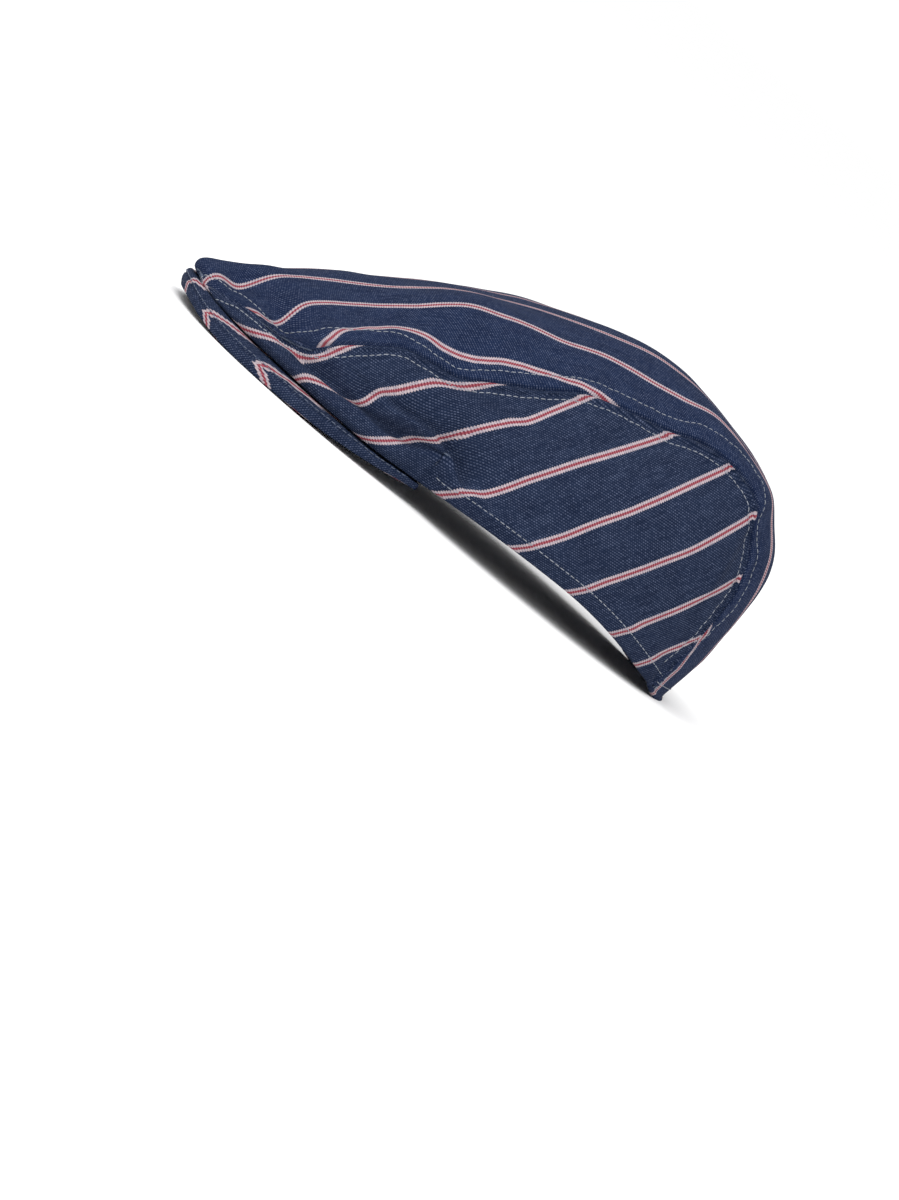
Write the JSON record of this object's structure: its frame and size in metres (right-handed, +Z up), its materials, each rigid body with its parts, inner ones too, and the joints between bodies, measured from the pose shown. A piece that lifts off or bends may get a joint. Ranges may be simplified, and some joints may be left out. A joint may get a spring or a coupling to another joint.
{
  "type": "flat cap",
  "caption": "Soft striped denim flat cap: long top panel, two side panels and a stiff cloth covered peak under the front roll, open below for the head.",
  "frame": {"origin": "on the floor under the middle of the cap's length and width", "axes": "+Z up, -Y towards the tip of the peak, +X towards the wearer's left"},
  "size_m": [0.1702, 0.2868, 0.1155],
  "materials": {
    "denim": "navy twill with white, red and white stripes",
    "peak_denim": "navy twill with white, red and white stripes, stretched over a stiff board"
  },
  "bodies": {
    "root": {"top_panel": "denim", "side_panel_left": "denim", "side_panel_right": "denim", "peak": "peak_denim"}
  },
  "joints": []
}
